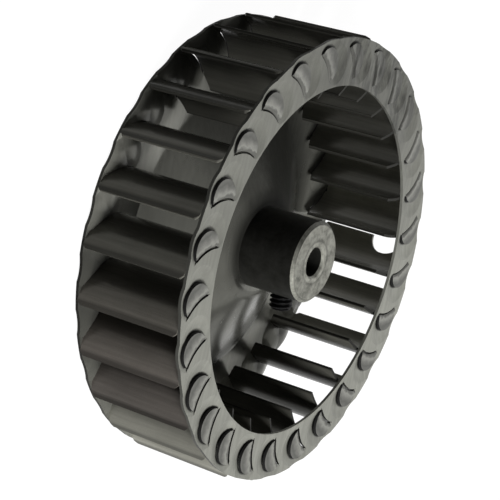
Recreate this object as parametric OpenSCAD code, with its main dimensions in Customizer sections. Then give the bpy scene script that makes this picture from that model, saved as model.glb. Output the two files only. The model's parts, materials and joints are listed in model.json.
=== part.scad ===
// Inducer blower wheel: a forward-curved centrifugal wheel of sheet steel.
// Curved blades stand between a flat inlet ring and a dished back plate.
// Each blade ends in tongues that pass through slots in both plates and are folded over outside.
// A turned hub is staked into the back plate and is clamped to the motor shaft by a set screw.
// The wheel lies on its back plate. +Z runs along its axis, towards the inlet.
// The origin is on the axis, level with the bends of the back plate's tongues. Millimetres, degrees.

/* [Plates] */
// Diameter of the inlet ring and of the back plate
plate_d = 120.1; // [118:0.1:123]
// Width over the outer faces of both plates
wheel_w = 31.8; // [24:0.1:60]
// Thickness of the sheet that both plates are pressed from
sheet_t = 0.8; // [0.6:0.05:1.0]
// Width of the inlet ring, from its edge in to the round inlet
ring_w = 12.6; // [12:0.05:13.5]

/* [Back plate centre] */
// Width of the back plate's flat rim, from its edge in to the crease where its cone starts
rim_w = 19.55; // [17:0.05:25]
// Height of the raised centre above the flat rim
cone_rise = 14.7; // [8:0.1:17]
// Diameter of the flat land that the hub stands on
land_d = 25; // [24:0.5:34]
// Middle radius of the bend at the crease
crease_r = 2; // [1:0.1:6]
// Middle radius of the bend round the land
crown_r = 5; // [2:0.1:10]

/* [Blades] */
// Number of blades, evenly spaced
blade_count = 26; // [20:1:28]
// Thickness of a blade
blade_t = 0.8; // [0.6:0.05:1.0]
// Distance that the blades' tips stand out past the edges of the plates
tip_over = 0.45; // [0:0.05:1]
// Distance from a blade's tip straight in to its inner edge
blade_depth = 16.3; // [15.5:0.1:17.5]
// Radius of the arc that a blade is curved to, at the middle of its thickness
blade_arc_r = 12.46; // [11.5:0.01:13.5]
// Angle between a blade and the edge of the wheel, at the blade's tip
tip_a = 21.3; // [19:0.1:24]
// Turn of the first blade's arc centre about the axis
first_blade_a = 23.1; // [0:0.1:360]
// Length of the cut at each inner corner, along the plate
inner_cut_l = 4.5; // [2:0.1:5]
// Height of the cut at each inner corner, down from the plate
inner_cut_h = 2.2; // [1:0.1:4]
// Size of the small cut at each tip corner
tip_cut = 1; // [0.5:0.1:2]

/* [Folded tongues] */
// Width of a tongue along the blade, also the diameter of its round end
tongue_w = 9.3; // [8:0.1:9.8]
// Distance that the middle of a tongue lies outside the middle of the inlet ring's width
tongue_out = 0.15; // [-0.2:0.05:0.3]
// Height of a tongue's bend above the plate's face
tongue_rise = 0.15; // [0.1:0.05:0.4]
// Fall of a folded tongue from its bend to its free edge, in millimetres for each millimetre
tongue_fall = 0.03; // [0:0.01:0.04]
// Gap left open in the slot on the hollow side of a blade
slot_gap = 0.4; // [0.2:0.05:0.6]
// Play between the slot and the other faces of a tongue
slot_play = 0.1; // [0.05:0.01:0.15]
// Clearance between a folded tongue and the deepest part of the dent that it lies in
dent_clear = 0.6; // [0.6:0.05:0.8]
// Distance that each of the dent's two round marks is wider than a tongue
dent_wider = 1.9; // [1.8:0.1:2.3]
// Distance along the blade from the middle of the outer mark to the slot's end
outer_mark_end = 3.65; // [3.4:0.05:3.7]
// Distance from the blade's sheet to the middle of the outer mark
outer_mark_out = 1.7; // [1.5:0.05:1.8]
// Distance along the blade from the middle of the inner mark to the slot's end
inner_mark_end = 2.45; // [2.2:0.05:2.6]
// Distance from the blade's sheet to the middle of the inner mark
inner_mark_out = 3; // [2.8:0.05:3.1]

/* [Balance notch] */
// Which blade carries the balance notch, counted from 1
notch_blade = 26; // [1:1:26]
// Diameter of the half-round notch in the blade's tip edge
notch_d = 9.7; // [4:0.1:14]
// Distance from the inlet ring's outer face to the middle of the notch
notch_drop = 9.5; // [8:0.1:14]

/* [Hub] */
// Diameter of the hub
hub_d = 22.2; // [20:0.1:23]
// Length of the hub with its staked spigot
hub_l = 19.05; // [18.6:0.05:24]
// Height of the hub's face above the outer face of the inlet ring
hub_proud = 0.5; // [0:0.1:2]
// Diameter of the bore for the motor shaft
bore_d = 7.94; // [6:0.01:10]
// Chamfer round the hub's face
hub_chamfer = 0.8; // [0.2:0.1:1.5]
// Width of the chamfer round each mouth of the bore
bore_chamfer = 0.6; // [0.2:0.1:1]
// Diameter of the spigot that passes through the back plate
spigot_d = 15; // [14:0.1:17]
// Width by which the staked end of the spigot spreads over the plate
stake_spread = 1.2; // [0.5:0.1:1.5]

/* [Set screw] */
// Outside diameter of the set screw
screw_d = 6.35; // [5:0.05:7]
// Length of the set screw
screw_l = 11.1; // [9:0.1:14]
// Radial clearance between the screw and its hole
screw_clear = 0.06; // [0.02:0.01:0.1]
// Distance from the hub's face down to the screw's axis
screw_drop = 8.57; // [8:0.01:11]
// Direction of the screw about the wheel's axis
screw_a = 279.8; // [0:0.1:360]
// Distance that the screw's tip stands back from the wall of the bore
screw_back = 0.1; // [0:0.1:2]
// Width across the flats of the screw's hexagon socket
socket_w = 3.18; // [2.5:0.01:3.6]
// Depth of the hexagon socket
socket_deep = 3.5; // [2:0.1:5]
// Chamfer at both ends of the screw
screw_chamfer = 0.6; // [0.2:0.1:1]

/* [Hidden] */
function blade_name(k) = str("blade_", k < 10 ? "0" : "", k);
$fn = 96;

// Overshoot of cutting tools past the faces that they cut
over = 1;
// Heights of the plates' faces, and of the top of the tongues that are folded over the ring
back_face = tongue_rise;
back_inner = back_face + sheet_t;
ring_face = back_face + wheel_w;
ring_inner = ring_face - sheet_t;
mid_z = (back_face + ring_face) / 2;
tongue_top = ring_face + tongue_rise;
plate_r = plate_d / 2;
inlet_r = plate_r - ring_w;
crease_x = plate_r - rim_w;
pitch_a = 360 / blade_count;

// Blade section: an arc about its own centre, which lies on +X at arc_centre_r
blade_out_r = plate_r + tip_over;
blade_in_r = blade_out_r - blade_depth;
arc_centre_r = sqrt(pow(blade_out_r, 2) + pow(blade_arc_r, 2)
    - 2 * blade_out_r * blade_arc_r * cos(tip_a));
hollow_r = blade_arc_r - blade_t / 2;
bulge_r = blade_arc_r + blade_t / 2;
// Turn about the arc centre, from the wheel's axis round to where the arc meets radius r
function turn_at(r) = acos((pow(arc_centre_r, 2) + pow(blade_arc_r, 2) - pow(r, 2))
    / (2 * arc_centre_r * blade_arc_r));
// Turn about the arc centre that covers a length of the blade
function turn_of(len) = len / blade_arc_r * 180 / PI;
edge_turn = turn_at(blade_in_r);
tip_turn = turn_at(blade_out_r);
tongue_turn = turn_at((plate_r + inlet_r) / 2 + tongue_out);
tongue_half = turn_of(tongue_w) / 2;
slot_half = turn_of(tongue_w + 2 * slot_play) / 2;

// Dent: two overlapping shallow ball marks in each plate's outer face, on one side of the slot
dent_depth = blade_t - tongue_rise + dent_clear;
mark_r = (tongue_w + dent_wider) / 2;
mark_ball_r = (pow(mark_r, 2) + pow(dent_depth, 2)) / (2 * dent_depth);
outer_mark_along = tongue_w / 2 - outer_mark_end;
inner_mark_along = inner_mark_end - tongue_w / 2;
dent_low = ring_inner - dent_depth - over;
dent_h = ring_face - dent_low;

// Back plate profile, at the middle of the sheet: crease bend, straight cone, crown bend
bends_r = crease_r + crown_r;
cone_run = crease_x - land_d / 2;
cone_l = sqrt(pow(cone_run, 2) + pow(cone_rise, 2) - 2 * cone_rise * bends_r);
cone_a = atan2(cone_rise - bends_r, cone_run) + atan2(bends_r, cone_l);
sheet_mid_z = back_face + sheet_t / 2;
land_z = back_inner + cone_rise;

// Hub and screw heights
hub_face = ring_face + hub_proud;
hub_end = hub_face - hub_l;
hub_r = hub_d / 2;
bore_r = bore_d / 2;
screw_z = hub_face - screw_drop;
screw_in = bore_r + screw_back;

// Puts its children at blade number k, counted from 1, in that blade's own frame
module at_blade(k) {
    rotate(first_blade_a + (k - 1) * pitch_a) children();
}

// Puts its children on the blade's arc: X runs outwards from the arc's centre, Y along the blade
module on_arc(turn) {
    translate([arc_centre_r, 0, 0]) rotate(180 + turn) children();
}

// Sweeps a profile, drawn as distance from the arc's centre and height, along part of the arc
module along_arc(from_turn, to_turn) {
    translate([arc_centre_r, 0, 0])
        rotate_extrude(angle = to_turn - from_turn, start = 180 + from_turn) children();
}

// Repeats its children for the back plate, mirrored about the middle of the wheel
module both_plates() {
    children();
    to_back() children();
}

// Turns what is drawn for the inlet ring over onto the back plate
module to_back() {
    translate([0, 0, 2 * mid_z]) mirror([0, 0, 1]) children();
}

// Lower part of a ball, sunk into the inlet ring's face: the cut for one round mark of a dent.
// Grown by the sheet, and cut off inside it, it is the bulge that the mark makes below.
module mark(grow) {
    low = -dent_depth - grow;
    top = grow > 0 ? -sheet_t / 2 : over / 4;
    translate([0, 0, ring_face]) rotate_extrude() intersection() {
        translate([0, mark_ball_r - dent_depth]) circle(r = mark_ball_r + grow);
        translate([0, low]) square([2 * mark_r, top - low]);
    }
}

// The dent beside one blade in the inlet ring, which stops in the slot's open gap
module dent(grow) {
    difference() {
        on_arc(tongue_turn) {
            translate([blade_arc_r + outer_mark_out, outer_mark_along, 0]) mark(grow);
            translate([blade_arc_r + inner_mark_out, inner_mark_along, 0]) mark(grow);
        }
        translate([arc_centre_r, 0, dent_low])
            cylinder(r = hollow_r - slot_gap / 2, h = dent_h + over);
    }
}

// The curved slot for one tongue, right through the inlet ring
module slot() {
    along_arc(tongue_turn - slot_half, tongue_turn + slot_half)
        translate([hollow_r - slot_gap, dent_low])
            square([blade_t + slot_gap + slot_play, dent_h + over]);
}

// Presses the dents into a plate that is drawn level with the inlet ring, and cuts its slots
module pressed(hole_r) {
    difference() {
        union() {
            children();
            intersection() {
                for (k = [1:blade_count]) at_blade(k) dent(sheet_t);
                translate([0, 0, dent_low]) ring_blank(hole_r, dent_h);
            }
        }
        for (k = [1:blade_count]) at_blade(k) dent(0);
        for (k = [1:blade_count]) at_blade(k) slot();
    }
}

// A plain flat ring of the plates' outside diameter
module ring_blank(hole_r, thick) {
    rotate_extrude() translate([hole_r, 0]) square([plate_r - hole_r, thick]);
}

// Flat inlet ring
module inlet_ring() {
    color([0.62, 0.62, 0.58])
        pressed(inlet_r) translate([0, 0, ring_inner]) ring_blank(inlet_r, sheet_t);
}

// Band of the sheet bent round a centre, from one angle to another
module bent_band(radius, from_a, to_a) {
    far = 2 * (radius + sheet_t);
    intersection() {
        difference() {
            circle(r = radius + sheet_t / 2);
            circle(r = radius - sheet_t / 2);
        }
        polygon([[0, 0], far * [cos(from_a), sin(from_a)], far * [cos(to_a), sin(to_a)]]);
    }
}

// Section of the raised centre: from the crease, over the cone, to the hole for the hub's spigot
module centre_profile() {
    cone_x = crease_x - crease_r * sin(cone_a);
    cone_z = sheet_mid_z + crease_r * (1 - cos(cone_a));
    land_mid = sheet_mid_z + cone_rise;
    translate([crease_x, sheet_mid_z + crease_r]) bent_band(crease_r, 270 - cone_a, 270);
    translate([cone_x, cone_z]) rotate(180 - cone_a)
        translate([0, -sheet_t / 2]) square([cone_l, sheet_t]);
    translate([land_d / 2, land_mid - crown_r]) bent_band(crown_r, 90 - cone_a, 90);
    translate([spigot_d / 2, land_mid - sheet_t / 2])
        square([(land_d - spigot_d) / 2, sheet_t]);
}

// Back plate: flat slotted rim and a raised cone that carries the hub
module back_plate() {
    color([0.5, 0.5, 0.47]) {
        to_back() pressed(crease_x)
            translate([0, 0, ring_inner]) ring_blank(crease_x, sheet_t);
        rotate_extrude() centre_profile();
    }
}

// Cut across one corner of a blade below the ring: length along the plate and depth at the edge.
// It is drawn from the middle of that length, and runs on past the corner both ways.
module corner_cut(length, depth) {
    translate([hollow_r - over, 0, ring_inner]) rotate([90, 0, 90])
        linear_extrude(blade_t + 2 * over)
            polygon([[-3 * length / 2, -2 * depth], [3 * length / 2, depth],
                [-3 * length / 2, depth]]);
}

// The four cut corners of a blade
module blade_corners() {
    both_plates() {
        on_arc(edge_turn + turn_of(inner_cut_l) / 2) corner_cut(inner_cut_l, inner_cut_h);
        on_arc(tip_turn - turn_of(tip_cut) / 2) mirror([0, 1, 0]) corner_cut(tip_cut, tip_cut);
    }
}

// Tongue through the inlet ring: neck in the slot, bend, and round end folded down outside
module tongue() {
    far = blade_arc_r + tongue_w;
    under = tongue_top - blade_t;
    far_drop = (far - bulge_r) * tongue_fall;
    along_arc(tongue_turn - tongue_half, tongue_turn + tongue_half) {
        translate([hollow_r, dent_low]) square([blade_t, under - dent_low]);
        intersection() {
            translate([bulge_r, under]) circle(r = blade_t);
            translate([hollow_r, under]) square(blade_t);
        }
    }
    intersection() {
        along_arc(tongue_turn - 2 * tongue_half, tongue_turn + 2 * tongue_half)
            polygon([[bulge_r, under], [bulge_r, tongue_top],
                [far, tongue_top - far_drop], [far, under - far_drop]]);
        on_arc(tongue_turn) translate([blade_arc_r, 0, dent_low])
            cylinder(r = tongue_w / 2, h = dent_h + tongue_rise + over);
    }
}

// Half-round notch ground into the tip edge of one blade to balance the wheel
module balance_notch() {
    on_arc(tip_turn) translate([hollow_r - over, 0, ring_face - notch_drop])
        rotate([0, 90, 0]) cylinder(d = notch_d, h = blade_t + 2 * over);
}

// One blade with its tongues; the notched one carries the balance notch
module blade(k) {
    color([0.3, 0.3, 0.28]) at_blade(k) {
        difference() {
            along_arc(edge_turn, tip_turn)
                translate([hollow_r, back_inner]) square([blade_t, ring_inner - back_inner]);
            blade_corners();
            both_plates() dent(sheet_t);
            if (k == notch_blade) balance_notch();
        }
        both_plates() tongue();
    }
}

// Turned hub with chamfered face, staked spigot, through bore and tapped hole for the set screw
module hub() {
    spigot_r = spigot_d / 2;
    stake_r = spigot_r + stake_spread;
    plate_under = land_z - sheet_t;
    color([0.2, 0.2, 0.19]) difference() {
        rotate_extrude() polygon([[bore_r + bore_chamfer, hub_end], [spigot_r, hub_end],
            [stake_r, (hub_end + plate_under) / 2], [stake_r, plate_under],
            [spigot_r, plate_under], [spigot_r, land_z], [hub_r, land_z],
            [hub_r, hub_face - hub_chamfer], [hub_r - hub_chamfer, hub_face],
            [bore_r + bore_chamfer, hub_face], [bore_r, hub_face - bore_chamfer],
            [bore_r, hub_end + bore_chamfer]]);
        translate([0, 0, screw_z]) rotate(screw_a) rotate([0, 90, 0])
            cylinder(r = screw_d / 2 + screw_clear, h = hub_r + over);
    }
}

// Set screw with a hexagon socket in its outer end, tip beside the wall of the bore
module set_screw() {
    screw_r = screw_d / 2;
    socket_r = socket_w / 2 / cos(30);
    color([0.12, 0.12, 0.12])
        translate([0, 0, screw_z]) rotate(screw_a) rotate([0, 90, 0])
            translate([0, 0, screw_in]) difference() {
                rotate_extrude() polygon([[0, 0], [screw_r - screw_chamfer, 0],
                    [screw_r, screw_chamfer], [screw_r, screw_l - screw_chamfer],
                    [screw_r - screw_chamfer, screw_l], [0, screw_l]]);
                translate([0, 0, screw_l - socket_deep])
                    cylinder(r = socket_r, h = socket_deep + over, $fn = 6);
            }
}

inlet_ring();
back_plate();
hub();
set_screw();
for (k = [1:blade_count])
    blade(k);
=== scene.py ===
"""Inducer blower wheel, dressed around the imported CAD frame. Metres."""
import json
import math

import bmesh
import bpy
from mathutils import Matrix, Vector


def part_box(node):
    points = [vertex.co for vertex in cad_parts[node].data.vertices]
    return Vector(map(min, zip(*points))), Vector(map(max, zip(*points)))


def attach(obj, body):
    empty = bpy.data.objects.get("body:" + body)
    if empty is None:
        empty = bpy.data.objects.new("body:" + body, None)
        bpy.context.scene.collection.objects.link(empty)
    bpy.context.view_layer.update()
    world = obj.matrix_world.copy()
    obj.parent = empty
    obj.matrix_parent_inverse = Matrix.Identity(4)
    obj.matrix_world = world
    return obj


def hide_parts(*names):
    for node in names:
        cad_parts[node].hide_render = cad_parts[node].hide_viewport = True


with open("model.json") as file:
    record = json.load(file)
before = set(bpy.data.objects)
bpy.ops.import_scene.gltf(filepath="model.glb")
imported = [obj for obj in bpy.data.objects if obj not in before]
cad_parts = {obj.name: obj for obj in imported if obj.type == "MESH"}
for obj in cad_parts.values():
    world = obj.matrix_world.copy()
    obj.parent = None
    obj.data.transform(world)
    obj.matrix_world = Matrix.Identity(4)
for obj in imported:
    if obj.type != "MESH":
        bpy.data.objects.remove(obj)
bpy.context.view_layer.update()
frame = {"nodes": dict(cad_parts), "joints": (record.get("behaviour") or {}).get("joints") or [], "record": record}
MM = 0.001

# The camera, as it stood to the wheel in the photograph
INCLINE = 1.05131  # between the wheel's axis and the line of sight
TURN = 0.29860  # of the axis about the line of sight, down from the picture's right
FOCAL_PX = 1789.28
PICTURE_PX = 500
SENSOR_MM = 36.0
RING_CENTRE_SEEN = Vector((16.7455, 3.2184, 471.897)) * MM  # right, down and away
CLIP_NEAR = 0.01
CLIP_FAR = 20

# Heights in the wheel
HUB_PROUD = 0.5 * MM  # of the hub's face above the inlet ring
RING_FACE_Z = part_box("hub")[1].z - HUB_PROUD
PLATES_MIDDLE_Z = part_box("blade_01")[0].z / 2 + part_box("blade_01")[1].z / 2
PLATES_FROM_MIDDLE = 15.15 * MM  # just past the plates' inner faces, up or down from the middle

# How the hub and the blades lie, as in the part's source
HUB_R = 11.1 * MM
HUB_CHAMFER_R = 0.93 * HUB_R  # where the chamfer round the hub's face starts
BLADE_IN_R = 44.2 * MM
BLADE_TIP_R = 60.5 * MM
FIRST_BLADE = math.radians(23.1)
PITCH = math.tau / 26
ARC_CENTRE_R = 49.1 * MM
ARC_R = 12.46 * MM
TONGUE_R = 4.65 * MM
TONGUE_AT = (52.55 * MM, -11.97 * MM)  # from the axis, with the blade's arc centre on +X
SECTOR_START = math.radians(-18.9)  # from a blade's arc centre, so that its tongue isn't cut
INNER_EDGE_R = 48.5 * MM  # edges nearer to the axis are the blades' inner edges
TONGUES_END_R = 59.2 * MM
SLOTS_START_R = 48 * MM
SLOTS_END_R = 59.5 * MM
BESIDE_SHEET = 0.2 * MM  # out from a blade's sheet, on the side to which its tongue is folded
CREASE_W = 1 * MM
# spread of the painted shade inside the plates, by the tongues
INSIDE_SHADE_SPREAD = 10 * MM

# How metallic the steels look, and how much they mirror besides
RING_METALLIC = 0.2
PLATE_METALLIC = 0.75
RIM_METALLIC = 0.15
BLADE_METALLIC = 0.3
HUB_METALLIC = 0.3
SPECULAR = 0.05
SCUFFED_ROUGH = 0.5  # least roughness outside the plates

# Where the painted shade beside the hub fades out, and where the cone ends and the plates' rims begin,
# as shares of the tips' radius
LAND_SHADE_START = 0.205
LAND_SHADE_END = 0.27
CONE_END = 0.66
RIM_START = 0.78

# Smeared dirt on the inlet ring, and turning marks on the hub's face
SMUDGE_AT = Vector((14, 52, 32)) * MM
SMUDGE_SPREAD = 40 * MM
TURNING_MARKS = 16000  # in radians for each metre out from the axis

# Painted light and shade round the wheel: degrees from +X, and the factor on the colour
BLADE_LIGHT_AND_SHADE = [(-180, 0.9), (-155, (0.92, 0.85, 0.87)), (-144, (0.79, 0.72, 0.75)),
              (-134, (0.52, 0.48, 0.50)), (-129, 0.55), (-125, 1.1), (-117, 1.5), (-100, 1.6),
              (-85, 1.0), (0, 1.4), (45, 1.6), (75, 1.2), (92, 0.5), (140, 0.5), (155, 1.0),
              (180, 0.9)]
PLATE_LIGHT_AND_SHADE = [(-180, 0.75), (-150, 0.85), (-120, 1.15), (-60, 1.2), (0, 0.9), (25, 0.6),
              (45, 0.3), (80, 0.28), (100, 0.42), (130, 0.45), (146, 0.7), (180, 0.75)]
PLATE_RIM_LIGHT_AND_SHADE = [(-180, 1.5), (-174, 0.7), (-160, 0.8), (-120, 1.2), (-100, 2.0), (-60, 2.8),
                  (30, 1.2), (60, 1.8), (90, 2.0), (125, 2.3), (140, 3.1), (165, 2.8), (180, 1.6)]
LAND_SHADE = [(-180, 0.3), (-150, 0.4), (-125, 0.8), (-60, 0.9), (60, 0.5), (100, 0.35),
             (180, 0.3)]
RING_LIGHT_AND_SHADE = [(-180, 0.9), (-160, 1.05), (-60, 1.1), (-10, 1.2), (15, 1.0), (45, 0.82),
             (85, 0.82), (100, 0.65), (115, 0.65), (128, 0.8), (155, 0.8), (180, 0.9)]
HUB_CHAMFER_SHADE = [(-180, 0.7), (-150, 1.0), (30, 1.0), (60, 0.35), (150, 0.35), (180, 0.7)]

# Floor, background and lamps
FLOOR_HALF = 3.0
FLOOR_GLOW = 0.96
FLOOR_UNDER = 0.1
WORLD_FILL = 0.04
LAMPS = [  # name, metres right, up and back from the wheel, watts, size
    ("key", 0.23, -0.50, 0.43, 6.2, 0.3),
    ("low_fill", -0.05, -0.65, 0.05, 0.5, 0.3),
    ("far_fill", 0.55, 0.05, -0.30, 0.8, 0.5),
    ("back_fill", 0.39, 0.38, -0.26, 1.2, 0.5),
]


def camera_axes():
    """The camera's right, down and forward directions in the wheel's frame."""
    axis = Vector((math.sin(INCLINE) * math.cos(TURN), math.sin(INCLINE) * math.sin(TURN),
                   -math.cos(INCLINE)))
    along_x = axis.cross(Vector((0, 1, 0))).normalized()
    along_y = axis.cross(along_x)
    rows = Matrix((along_x, along_y, axis))
    return rows.col[0].copy(), rows.col[1].copy(), rows.col[2].copy()


RIGHT, DOWN, FORWARD = camera_axes()


def make_camera():
    cam = bpy.data.objects.new("camera", bpy.data.cameras.new("camera"))
    bpy.context.scene.collection.objects.link(cam)
    cam.data.sensor_width = SENSOR_MM
    cam.data.lens = FOCAL_PX / PICTURE_PX * SENSOR_MM
    seen = RING_CENTRE_SEEN
    place = Vector((0, 0, RING_FACE_Z)) - (RIGHT * seen.x + DOWN * seen.y + FORWARD * seen.z)
    turn = Matrix((RIGHT, -DOWN, -FORWARD)).transposed().to_4x4()
    cam.matrix_world = Matrix.Translation(place) @ turn
    cam.data.clip_start = CLIP_NEAR
    cam.data.clip_end = CLIP_FAR
    bpy.context.scene.camera = cam


make_camera()


# Node helpers


def new_material(name):
    mat = bpy.data.materials.new(name)
    mat.use_nodes = True
    nodes = mat.node_tree.nodes
    return mat, nodes, mat.node_tree.links, nodes["Principled BSDF"]


def noise(nodes, links, coords, scale, stretch=(1, 1, 1), detail=4.0, rough=0.55):
    """Noise in the wheel's own coordinates, with scale in cells for each metre."""
    mapping = nodes.new("ShaderNodeMapping")
    mapping.inputs["Scale"].default_value = stretch
    tex = nodes.new("ShaderNodeTexNoise")
    tex.inputs["Scale"].default_value = scale
    tex.inputs["Detail"].default_value = detail
    tex.inputs["Roughness"].default_value = rough
    links.new(coords, mapping.inputs["Vector"])
    links.new(mapping.outputs["Vector"], tex.inputs["Vector"])
    return tex.outputs["Fac"]


def ramp(nodes, links, value, stops):
    """Colour ramp from (position, grey or colour) stops."""
    node = nodes.new("ShaderNodeValToRGB")
    links.new(value, node.inputs["Fac"])
    elements = node.color_ramp.elements
    while len(elements) < len(stops):
        elements.new(0.5)
    for element, (place, colour) in zip(elements, stops):
        element.position = place
        rgb = colour if isinstance(colour, tuple) else (colour,) * 3
        element.color = (*rgb, 1)
    return node.outputs["Color"]


def mix(nodes, links, factor, first, second, blend="MIX"):
    node = nodes.new("ShaderNodeMix")
    node.data_type = "RGBA"
    node.blend_type = blend
    for socket, value in ((node.inputs["Factor"], factor), (node.inputs["A"], first),
                          (node.inputs["B"], second)):
        if isinstance(value, bpy.types.NodeSocket):
            links.new(value, socket)
        elif isinstance(value, tuple):
            socket.default_value = (*value, 1)
        else:
            socket.default_value = value
    return node.outputs["Result"]


def math_node(nodes, links, operation, first, second=None):
    node = nodes.new("ShaderNodeMath")
    node.operation = operation
    for socket, value in zip(node.inputs, (first, second)):
        if isinstance(value, bpy.types.NodeSocket):
            links.new(value, socket)
        elif value is not None:
            socket.default_value = value
    return node.outputs[0]


def bump(nodes, links, height, distance, strength, onto=None):
    node = nodes.new("ShaderNodeBump")
    node.inputs["Distance"].default_value = distance
    node.inputs["Strength"].default_value = strength
    links.new(height, node.inputs["Height"])
    if onto is not None:
        links.new(onto, node.inputs["Normal"])
    return node.outputs["Normal"]


def parts_of(nodes, links, vector):
    """X, Y and Z of a vector, as sockets."""
    split = nodes.new("ShaderNodeSeparateXYZ")
    links.new(vector, split.inputs[0])
    return split.outputs["X"], split.outputs["Y"], split.outputs["Z"]


def normal_z(nodes, links):
    """Share of the surface's normal that points along the wheel's axis."""
    return parts_of(nodes, links, nodes.new("ShaderNodeTexCoord").outputs["Normal"])[2]


def axis_distance(nodes, links, coords):
    """Distance from the wheel's axis."""
    x, y, _ = parts_of(nodes, links, coords)
    xx = math_node(nodes, links, "MULTIPLY", x, x)
    yy = math_node(nodes, links, "MULTIPLY", y, y)
    return math_node(nodes, links, "SQRT", math_node(nodes, links, "ADD", xx, yy))


def azimuth(nodes, links, coords):
    """Angle about the wheel's axis, from +X."""
    x, y, _ = parts_of(nodes, links, coords)
    return math_node(nodes, links, "ARCTAN2", y, x)


def beside_tongue(nodes, links, coords):
    """Distances out from the nearest blade's sheet and from the middle of its tongue's end."""
    angle = azimuth(nodes, links, coords)
    turns = math_node(nodes, links, "DIVIDE",
                      math_node(nodes, links, "SUBTRACT", angle, FIRST_BLADE + SECTOR_START),
                      PITCH)
    local = math_node(nodes, links, "FRACT", turns)
    local = math_node(nodes, links, "ADD", math_node(nodes, links, "MULTIPLY", local, PITCH),
                      SECTOR_START)
    reach = axis_distance(nodes, links, coords)
    across = math_node(nodes, links, "MULTIPLY", reach, math_node(nodes, links, "COSINE", local))
    along = math_node(nodes, links, "MULTIPLY", reach, math_node(nodes, links, "SINE", local))

    def away(x, y):
        squares = [math_node(nodes, links, "POWER",
                             math_node(nodes, links, "ABSOLUTE",
                                       math_node(nodes, links, "SUBTRACT", value, middle)), 2)
                   for value, middle in ((across, x), (along, y))]
        return math_node(nodes, links, "SQRT", math_node(nodes, links, "ADD", *squares))

    from_sheet = math_node(nodes, links, "SUBTRACT", away(ARC_CENTRE_R, 0.0), ARC_R)
    return from_sheet, away(*TONGUE_AT)


def from_middle_z(nodes, links, coords):
    """Height above the middle between the plates."""
    return math_node(nodes, links, "SUBTRACT", parts_of(nodes, links, coords)[2], PLATES_MIDDLE_Z)


def outside_plates(nodes, links, coords):
    """1 from the plates' inner faces outwards, where the tongues lie, and 0 between the plates."""
    height = math_node(nodes, links, "ABSOLUTE", from_middle_z(nodes, links, coords))
    return math_node(nodes, links, "GREATER_THAN", height, PLATES_FROM_MIDDLE)


def inward_side(nodes, links, coords):
    """1 on the plates' faces that look into the wheel, and 0 on the others."""
    height = from_middle_z(nodes, links, coords)
    return math_node(nodes, links, "LESS_THAN",
                     math_node(nodes, links, "MULTIPLY", height, normal_z(nodes, links)), 0.0)


def round_light_and_shade(nodes, links, coords, colour, stops):
    """Painted light and shade: multiplies a colour by factors at angles round the wheel, given in degrees from +X.
    """
    turn = math_node(nodes, links, "DIVIDE", azimuth(nodes, links, coords), math.tau)
    turn = math_node(nodes, links, "ADD", turn, 0.5)
    factor = ramp(nodes, links, turn, [(degrees / 360 + 0.5, share) for degrees, share in stops])
    return mix(nodes, links, 1.0, colour, factor, "MULTIPLY")


def side_on(nodes, links):
    """1 on walls that stand along the wheel's axis, and 0 on faces across it."""
    return ramp(nodes, links, math_node(nodes, links, "ABSOLUTE", normal_z(nodes, links)),
                [(0.25, 1.0), (0.5, 0.0)])


def smudged(nodes, links, coords, colour, centre, shade_and_dirt=(0.065, 0.065, 0.059)):
    """Darkens long smears of dirt round a centre, fading out over a few centimetres."""
    away = nodes.new("ShaderNodeVectorMath")
    away.operation = "DISTANCE"
    links.new(coords, away.inputs[0])
    away.inputs[1].default_value = centre
    near = ramp(nodes, links, math_node(nodes, links, "MULTIPLY", away.outputs["Value"],
                                        1 / SMUDGE_SPREAD), [(0.5, 1.0), (0.85, 0.0)])
    smears = noise(nodes, links, coords, 420, (1.0, 0.22, 1.0), detail=6, rough=0.65)
    marks = ramp(nodes, links, smears, [(0.40, 1.0), (0.58, 0.4)])
    return mix(nodes, links, math_node(nodes, links, "MULTIPLY", near, marks), colour, shade_and_dirt)


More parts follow.
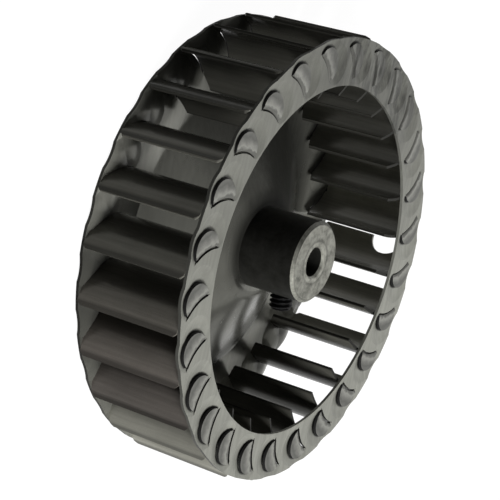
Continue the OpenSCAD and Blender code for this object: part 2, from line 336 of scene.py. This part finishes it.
def fold_shading_and_smudge(nodes, links, coords, colour):
    """Blades: painted light and shade on the sheet, painted highlight along each tongue's bend with painted shade
    over the rest, dirt smears on the tongues, and edges painted dark as shade.
    """
    from_sheet, _ = beside_tongue(nodes, links, coords)
    share = math_node(nodes, links, "DIVIDE", from_sheet, TONGUE_R)
    worn = noise(nodes, links, coords, 500, detail=4)
    share = math_node(nodes, links, "ADD", share,
                      math_node(nodes, links, "MULTIPLY",
                                math_node(nodes, links, "SUBTRACT", worn, 0.5), 0.6))
    # Painted highlight along each tongue's bend, painted shade over the rest of the tongue
    tongue = ramp(nodes, links, share, [(0.05, (0.11, 0.11, 0.10)), (0.2, (0.24, 0.24, 0.218)),
                                        (0.45, (0.15, 0.15, 0.137)), (0.7, (0.095, 0.095, 0.087)),
                                        (0.95, (0.125, 0.125, 0.115))])
    # The tongues' edge walls painted dark as shade
    tongue = mix(nodes, links, side_on(nodes, links), tongue, (0.02,) * 3)
    tongue = smudged(nodes, links, coords, tongue, SMUDGE_AT, (0.04, 0.04, 0.036))
    reach = math_node(nodes, links, "DIVIDE",
                      math_node(nodes, links, "SUBTRACT", axis_distance(nodes, links, coords),
                                BLADE_IN_R), BLADE_TIP_R - BLADE_IN_R)
    # Painted shade toward the inner edges and at the very tips, painted light just inside the tips
    light_and_shade_by_reach = ramp(nodes, links, reach, [(0.0, 0.12), (0.03, 0.55), (0.6, 0.6), (0.85, 1.1),
                                       (0.97, 1.2), (1.0, 0.5)])
    sheet = mix(nodes, links, 1.0, colour, light_and_shade_by_reach, "MULTIPLY")
    # Painted light and shade on the blades round the wheel
    sheet = round_light_and_shade(nodes, links, coords, sheet, BLADE_LIGHT_AND_SHADE)
    folded = math_node(nodes, links, "MULTIPLY", outside_plates(nodes, links, coords),
                       math_node(nodes, links, "LESS_THAN", axis_distance(nodes, links, coords),
                                 TONGUES_END_R))
    colour = mix(nodes, links, folded, sheet, tongue)
    # Faces across the axis near the blades' inner edges painted dark as shade
    inner_end = math_node(nodes, links, "LESS_THAN", axis_distance(nodes, links, coords),
                          INNER_EDGE_R)
    edge = math_node(nodes, links, "SUBTRACT", 1.0, side_on(nodes, links))
    return mix(nodes, links, math_node(nodes, links, "MULTIPLY", edge, inner_end), colour,
               (0.035, 0.035, 0.032))


def dent_shading(nodes, links, coords, colour):
    """Plates: painted shade in the slots, in the crease under each free edge and, inside, by the blades; the outer
    rim's walls darkened.
    """
    from_sheet, from_middle = beside_tongue(nodes, links, coords)
    beyond = math_node(nodes, links, "DIVIDE",
                       math_node(nodes, links, "SUBTRACT", from_middle, TONGUE_R), CREASE_W)
    # Painted shade in the crease under each tongue's free edge
    crease = ramp(nodes, links, beyond, [(0.0, 1.0), (0.2, 0.85), (0.6, 0.0)])
    crease = math_node(nodes, links, "MULTIPLY", crease,
                       math_node(nodes, links, "GREATER_THAN", from_sheet, BESIDE_SHEET))
    inside = inward_side(nodes, links, coords)
    crease = math_node(nodes, links, "MULTIPLY", crease,
                       math_node(nodes, links, "SUBTRACT", 1.0, inside))
    reach = axis_distance(nodes, links, coords)
    within = math_node(nodes, links, "MULTIPLY",
                       math_node(nodes, links, "GREATER_THAN", reach, SLOTS_START_R),
                       math_node(nodes, links, "LESS_THAN", reach, SLOTS_END_R))
    # Slot walls painted dark as shade
    sheared = side_on(nodes, links)
    slot_wall = math_node(nodes, links, "MULTIPLY", sheared, within)
    rim = math_node(nodes, links, "MULTIPLY", math_node(nodes, links, "MULTIPLY", sheared, 0.7),
                    math_node(nodes, links, "GREATER_THAN", reach, SLOTS_END_R))
    dark = math_node(nodes, links, "MAXIMUM", math_node(nodes, links, "MAXIMUM", crease, slot_wall),
                     rim)
    colour = mix(nodes, links, dark, colour, (0.012, 0.012, 0.011))
    # Painted shade on the plates' inner faces beside the tongues
    shade_inside = ramp(nodes, links, math_node(nodes, links, "DIVIDE", from_middle, INSIDE_SHADE_SPREAD),
                [(0.22, 0.6), (0.36, 0.15), (0.5, 0.0)])
    return mix(nodes, links, math_node(nodes, links, "MULTIPLY", shade_inside, inside), colour,
               (0.02, 0.02, 0.018))


def sheet_steel(name, dark, light, stretch, metallic, rough, marks, smudge=None, shade_and_dirt=None,
                rim_light_and_shade=None):
    """Rolled sheet steel: streaks along the rolling direction, cloudy stains and fine grain."""
    mat, nodes, links, shader = new_material(name)
    coords = nodes.new("ShaderNodeTexCoord").outputs["Object"]
    streaks = noise(nodes, links, coords, 900, stretch, detail=5)
    clouds = noise(nodes, links, coords, 60, detail=5, rough=0.6)
    grain = noise(nodes, links, coords, 2600, detail=2)
    colour = ramp(nodes, links, streaks, [(0.30, dark), (0.70, light)])
    stain = ramp(nodes, links, clouds, [(0.35, 0.84), (0.62, 1.0)])
    colour = mix(nodes, links, 0.8, colour, stain, "MULTIPLY")
    speckle = ramp(nodes, links, grain, [(0.3, 0.9), (0.7, 1.0)])
    colour = mix(nodes, links, 0.7, colour, speckle, "MULTIPLY")
    # Painted light and shade round the wheel on the plates and the ring
    if shade_and_dirt is not None:
        colour = round_light_and_shade(nodes, links, coords, colour, shade_and_dirt)
    reach = math_node(nodes, links, "DIVIDE", axis_distance(nodes, links, coords), BLADE_TIP_R)
    # Painted light and shade on the plates' rims between the blades
    if rim_light_and_shade is not None:
        rim = ramp(nodes, links, reach, [(CONE_END, 0.0), (RIM_START, 1.0)])
        colour = mix(nodes, links, rim, colour,
                     round_light_and_shade(nodes, links, coords, colour, rim_light_and_shade))
        # Painted shade on the plate beside the hub
        beside_hub = ramp(nodes, links, reach, [(LAND_SHADE_START, 1.0), (LAND_SHADE_END, 0.0)])
        colour = mix(nodes, links, beside_hub, colour,
                     round_light_and_shade(nodes, links, coords, colour, LAND_SHADE))
    if smudge is not None:
        colour = smudged(nodes, links, coords, colour, smudge)
    colour = marks(nodes, links, coords, colour)
    links.new(colour, shader.inputs["Base Color"])
    dull = ramp(nodes, links, colour, [(0.03, 0.75), (0.09, 0.0)])
    polish = ramp(nodes, links, streaks, [(0.3, 1.15 * rough), (0.7, 0.85 * rough)])
    scuffed = math_node(nodes, links, "MULTIPLY", outside_plates(nodes, links, coords),
                        SCUFFED_ROUGH)
    polish = math_node(nodes, links, "MAXIMUM", polish, scuffed)
    links.new(math_node(nodes, links, "MAXIMUM", dull, polish), shader.inputs["Roughness"])
    links.new(ramp(nodes, links, reach, [(CONE_END, metallic),
                                         (RIM_START, min(metallic, RIM_METALLIC))]),
              shader.inputs["Metallic"])
    shader.inputs["Specular IOR Level"].default_value = SPECULAR
    normal = bump(nodes, links, streaks, 0.02 * MM, 0.2)
    normal = bump(nodes, links, grain, 0.015 * MM, 0.1, normal)
    links.new(normal, shader.inputs["Normal"])
    return mat


def hub_steel(name):
    """Turned steel: side painted dark as shade, bright mottled face with turning marks."""
    mat, nodes, links, shader = new_material(name)
    coords = nodes.new("ShaderNodeTexCoord").outputs["Object"]
    facing = ramp(nodes, links, normal_z(nodes, links), [(0.35, 0.0), (0.6, 1.0)])
    clouds = noise(nodes, links, coords, 320, detail=6, rough=0.65)
    spots = noise(nodes, links, coords, 900, detail=3)
    reach = axis_distance(nodes, links, coords)
    face = ramp(nodes, links, clouds, [(0.3, (0.11, 0.11, 0.095)), (0.5, (0.23, 0.23, 0.20)),
                                       (0.72, (0.31, 0.31, 0.275))])
    rings = ramp(nodes, links, math_node(nodes, links, "DIVIDE", reach, HUB_R),
                 [(0.36, 0.6), (0.42, 1.1), (0.49, 1.1), (0.53, 0.5), (0.60, 0.85), (0.86, 0.9),
                  (0.90, 1.05), (0.92, 0.5), (0.95, 0.95)])
    face = mix(nodes, links, 0.9, face, rings, "MULTIPLY")
    face = mix(nodes, links, 0.6, face, ramp(nodes, links, spots, [(0.35, 0.55), (0.6, 1.0)]),
               "MULTIPLY")
    # Painted shade on one side of the hub's chamfer
    edge = math_node(nodes, links, "GREATER_THAN", reach, HUB_CHAMFER_R)
    face = mix(nodes, links, edge, face, round_light_and_shade(nodes, links, coords, face, HUB_CHAMFER_SHADE))
    # The hub's side painted near black as shade
    shaded_side = ramp(nodes, links, clouds, [(0.3, (0.014, 0.014, 0.012)), (0.7, (0.030, 0.030, 0.027))])
    links.new(mix(nodes, links, facing, shaded_side, face), shader.inputs["Base Color"])
    rough = mix(nodes, links, facing, (0.42,) * 3, (0.55,) * 3)
    links.new(rough, shader.inputs["Roughness"])
    shader.inputs["Metallic"].default_value = HUB_METALLIC
    shader.inputs["Specular IOR Level"].default_value = SPECULAR
    grooves = math_node(nodes, links, "SINE",
                        math_node(nodes, links, "MULTIPLY", reach, TURNING_MARKS))
    normal = bump(nodes, links, grooves, 0.02 * MM, 0.5)
    normal = bump(nodes, links, clouds, 0.05 * MM, 0.3, normal)
    links.new(normal, shader.inputs["Normal"])
    return mat


def black_oxide(name):
    """Blackened steel with a fine grain."""
    mat, nodes, links, shader = new_material(name)
    coords = nodes.new("ShaderNodeTexCoord").outputs["Object"]
    grain = noise(nodes, links, coords, 1500, detail=4)
    links.new(ramp(nodes, links, grain, [(0.3, 0.004), (0.7, 0.014)]),
              shader.inputs["Base Color"])
    links.new(ramp(nodes, links, grain, [(0.3, 0.5), (0.7, 0.35)]), shader.inputs["Roughness"])
    shader.inputs["Metallic"].default_value = HUB_METALLIC
    shader.inputs["Specular IOR Level"].default_value = SPECULAR
    links.new(bump(nodes, links, grain, 0.02 * MM, 0.4), shader.inputs["Normal"])
    return mat


MATERIALS = {
    "ring_steel": sheet_steel("ring_steel", (0.205, 0.206, 0.183), (0.26, 0.262, 0.232),
                              (1, 0.06, 1), RING_METALLIC, 0.45, dent_shading, SMUDGE_AT,
                              RING_LIGHT_AND_SHADE),
    "plate_steel": sheet_steel("plate_steel", (0.105, 0.105, 0.092), (0.125, 0.125, 0.11),
                               (1, 0.06, 1), PLATE_METALLIC, 0.24, dent_shading,
                               shade_and_dirt=PLATE_LIGHT_AND_SHADE, rim_light_and_shade=PLATE_RIM_LIGHT_AND_SHADE),
    "blade_steel": sheet_steel("blade_steel", (0.145, 0.143, 0.122), (0.195, 0.192, 0.165),
                               (1, 1, 0.05), BLADE_METALLIC, 0.25, fold_shading_and_smudge),
    "hub_steel": hub_steel("hub_steel"),
    "screw_black": black_oxide("screw_black"),
}


def dress_nodes():
    """Gives each CAD node the material of its slot in the record."""
    slots = {s["node"]: s["material_slot"] for s in frame["record"]["subparts"]}
    for name, obj in frame["nodes"].items():
        obj.data.materials.clear()
        obj.data.materials.append(MATERIALS[slots[name]])


dress_nodes()


# Set screw with its thread

SCREW_R = 3.175 * MM
SCREW_PITCH = 1.27 * MM
THREAD_DEPTH = 0.72 * MM
SOCKET_W = 3.18 * MM
SOCKET_DEEP = 3.5 * MM
SOCKET_CHAMFER = 0.15 * MM
SOCKET_CONE = 0.6 * MM  # depth of the cone at the socket's bottom
CUP_DEEP = 0.3 * MM  # in the end that grips the shaft
SCREW_CHAMFER = 0.75 * MM
AROUND = 48
ROWS_A_TURN = 10


def thread_radius(along, angle):
    """Radius of the threaded flank at a distance along the screw and an angle about it."""
    phase = (along / SCREW_PITCH - angle / math.tau) % 1.0
    ridge = 1 - abs(2 * phase - 1)
    flat_topped = min(1.0, max(0.0, 1.35 * ridge - 0.12))
    return SCREW_R - THREAD_DEPTH * (1 - flat_topped)


def hexagon_radius(angle):
    """Distance from the centre to the side of the socket at an angle."""
    sixth = math.radians(60)
    return SOCKET_W / 2 / math.cos((angle % sixth) - sixth / 2)


def make_set_screw():
    """Threaded set screw with a hexagon socket, built along its own axis and then put in place."""
    joint = next(j for j in frame["joints"] if j["child"] == "set_screw")
    outwards = Vector(joint["axis"]).normalized()
    low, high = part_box("set_screw")
    middle_z = (low.z + high.z) / 2
    reach = [v.co.dot(outwards) for v in frame["nodes"]["set_screw"].data.vertices]
    start, length = min(reach), max(reach) - min(reach)
    bm = bmesh.new()
    rings = []

    def add_ring(along, radius_at):
        ring = []
        for i in range(AROUND):
            angle = math.tau * i / AROUND
            radius = radius_at(angle)
            ring.append(bm.verts.new((along, radius * math.cos(angle), radius * math.sin(angle))))
        rings.append(ring)

    rows = int(length / SCREW_PITCH * ROWS_A_TURN)
    add_ring(0, lambda a: SCREW_R - SCREW_CHAMFER)
    for row in range(1, rows):
        along = length * row / rows
        end_limit = SCREW_R - SCREW_CHAMFER + min(along, length - along)
        add_ring(along, lambda a: min(thread_radius(along, a), end_limit))
    add_ring(length, lambda a: SCREW_R - SCREW_CHAMFER)
    add_ring(length, lambda a: hexagon_radius(a) + SOCKET_CHAMFER)
    add_ring(length - SOCKET_CHAMFER, hexagon_radius)
    add_ring(length - SOCKET_DEEP, hexagon_radius)
    for first, second in zip(rings, rings[1:]):
        for i in range(AROUND):
            j = (i + 1) % AROUND
            bm.faces.new((first[i], first[j], second[j], second[i]))
    tip = bm.verts.new((CUP_DEEP, 0, 0))
    bottom = bm.verts.new((length - SOCKET_DEEP - SOCKET_CONE, 0, 0))
    for i in range(AROUND):
        j = (i + 1) % AROUND
        bm.faces.new((tip, rings[0][j], rings[0][i]))
        bm.faces.new((bottom, rings[-1][i], rings[-1][j]))
    bmesh.ops.recalc_face_normals(bm, faces=bm.faces)
    mesh = bpy.data.meshes.new("set_screw_threaded")
    bm.to_mesh(mesh)
    bm.free()
    up = Vector((0, 0, 1))
    place = Matrix((outwards, up.cross(outwards), up)).transposed().to_4x4()
    place.translation = outwards * start + up * middle_z
    mesh.transform(place)
    mesh.materials.append(MATERIALS["screw_black"])
    obj = bpy.data.objects.new("set_screw_threaded", mesh)
    bpy.context.scene.collection.objects.link(obj)
    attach(obj, "set_screw")
    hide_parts("set_screw")


make_set_screw()


# Floor, background and light


def seen_white(nodes, links):
    """1 for camera, mirror and glass rays, which see the background as white."""
    path = nodes.new("ShaderNodeLightPath")
    return math_node(nodes, links, "MAXIMUM", path.outputs["Is Camera Ray"],
                     math_node(nodes, links, "MAXIMUM", path.outputs["Is Glossy Ray"],
                               path.outputs["Is Transmission Ray"]))


def white_to_the_eye(name, strength, under):
    """Material that glows white for those rays, and is a dark floor to all others."""
    mat = bpy.data.materials.new(name)
    mat.use_nodes = True
    nodes, links = mat.node_tree.nodes, mat.node_tree.links
    nodes.clear()
    seen = seen_white(nodes, links)
    glow = nodes.new("ShaderNodeEmission")
    glow.inputs["Strength"].default_value = strength
    shade = nodes.new("ShaderNodeBsdfDiffuse")
    shade.inputs["Color"].default_value = (under, under, under, 1)
    both = nodes.new("ShaderNodeAddShader")
    pick = nodes.new("ShaderNodeMixShader")
    links.new(glow.outputs[0], both.inputs[0])
    links.new(shade.outputs[0], both.inputs[1])
    links.new(seen, pick.inputs[0])
    links.new(shade.outputs[0], pick.inputs[1])
    links.new(both.outputs[0], pick.inputs[2])
    out = nodes.new("ShaderNodeOutputMaterial")
    links.new(pick.outputs[0], out.inputs["Surface"])
    return mat


def make_floor():
    mesh = bpy.data.meshes.new("floor")
    half = FLOOR_HALF
    mesh.from_pydata([(-half, -half, 0), (half, -half, 0), (half, half, 0), (-half, half, 0)],
                     [], [(0, 1, 2, 3)])
    mesh.materials.append(white_to_the_eye("floor_white", FLOOR_GLOW, FLOOR_UNDER))
    floor = bpy.data.objects.new("floor", mesh)
    bpy.context.scene.collection.objects.link(floor)


def make_world():
    world = bpy.data.worlds.new("world")
    bpy.context.scene.world = world
    world.use_nodes = True
    nodes, links = world.node_tree.nodes, world.node_tree.links
    nodes.clear()
    seen = seen_white(nodes, links)
    fill = nodes.new("ShaderNodeBackground")
    fill.inputs["Color"].default_value = (1, 1, 1, 1)
    fill.inputs["Strength"].default_value = WORLD_FILL
    white = nodes.new("ShaderNodeBackground")
    white.inputs["Color"].default_value = (1, 1, 1, 1)
    white.inputs["Strength"].default_value = 1.0
    pick = nodes.new("ShaderNodeMixShader")
    out = nodes.new("ShaderNodeOutputWorld")
    links.new(seen, pick.inputs[0])
    links.new(fill.outputs[0], pick.inputs[1])
    links.new(white.outputs[0], pick.inputs[2])
    links.new(pick.outputs[0], out.inputs["Surface"])


def area_light(name, right, up, back, watts, size):
    """Soft lamp to the right of, above and in front of the wheel, as the camera sees it."""
    lamp = bpy.data.lights.new(name, "AREA")
    lamp.shape = "DISK"
    lamp.size = size
    lamp.energy = watts
    obj = bpy.data.objects.new(name, lamp)
    bpy.context.scene.collection.objects.link(obj)
    centre = Vector((0, 0, RING_FACE_Z / 2))
    place = centre + RIGHT * right - DOWN * up - FORWARD * back
    obj.location = place
    obj.rotation_mode = "QUATERNION"
    obj.rotation_quaternion = (centre - place).to_track_quat("-Z", "Y")


make_floor()
make_world()
for lamp_values in LAMPS:
    area_light(*lamp_values)

bpy.context.scene.view_settings.view_transform = "Standard"
